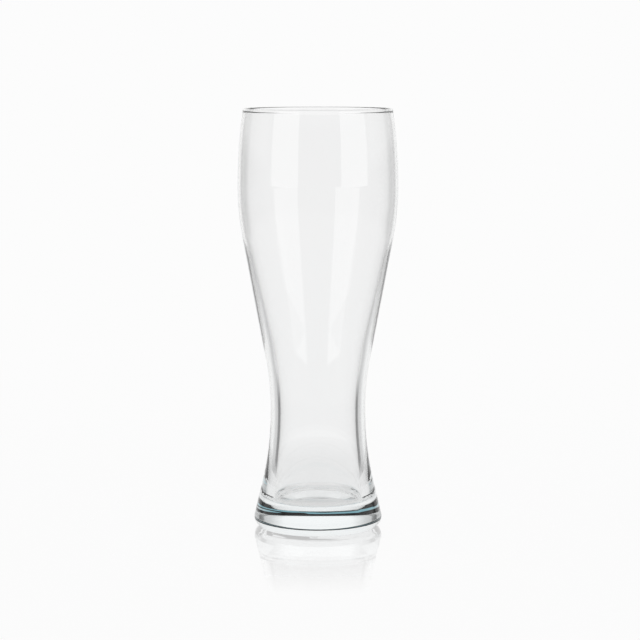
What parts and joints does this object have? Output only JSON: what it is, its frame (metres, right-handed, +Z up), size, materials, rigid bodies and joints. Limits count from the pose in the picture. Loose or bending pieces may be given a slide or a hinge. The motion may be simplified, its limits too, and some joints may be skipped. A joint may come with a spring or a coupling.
{
  "type": "weizen glass",
  "caption": "Tall clear wheat-beer glass with a rounded belly, a long taper, a narrow waist and a heavy flared foot, for serving beer with room for its foam.",
  "frame": {"origin": "on the table, at the middle of the foot's bearing ring", "axes": "+Z up along the glass's axis of revolution; X and Y are free to choose, and the camera of the picture is on the -Y side"},
  "size_m": [0.0838, 0.0838, 0.22],
  "materials": {
    "clear_glass": "clear, smooth, fire-polished"
  },
  "bodies": {
    "root": {"bowl": "clear_glass", "foot": "clear_glass"}
  },
  "joints": []
}
